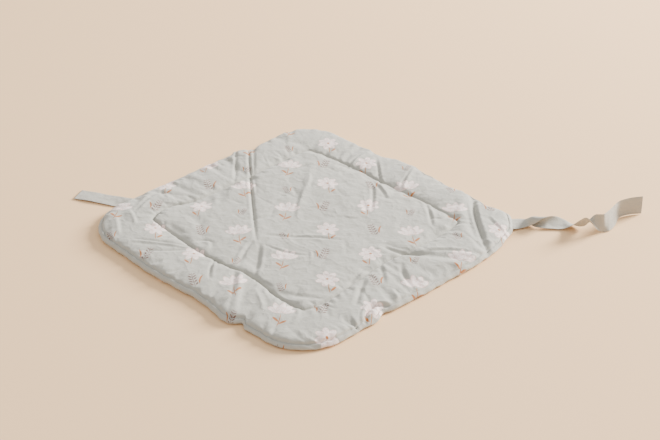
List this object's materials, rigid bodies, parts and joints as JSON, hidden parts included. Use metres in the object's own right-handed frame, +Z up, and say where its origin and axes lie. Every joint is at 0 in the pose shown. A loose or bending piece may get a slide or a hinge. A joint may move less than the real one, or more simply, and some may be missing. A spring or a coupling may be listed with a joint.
{
  "type": "padded swaddle blanket with two ties",
  "caption": "Square padded baby wrap with rounded corners, one quilting line inside its edge and flat fabric ties at two corners, laid out on a surface.",
  "frame": {"origin": "on the surface it rests on, under the middle of the padded square", "axes": "+X towards the corner with the longer, twisted tie, the opposite corner with the other tie at -X; +Z up from the surface"},
  "size_m": [1.3462, 0.9571, 0.0464],
  "materials": {
    "printed_cotton": "matte",
    "tie_cotton": "matte"
  },
  "bodies": {
    "root": {"quilt": "printed_cotton", "tie_left": "tie_cotton", "tie_right": "tie_cotton"}
  },
  "joints": []
}
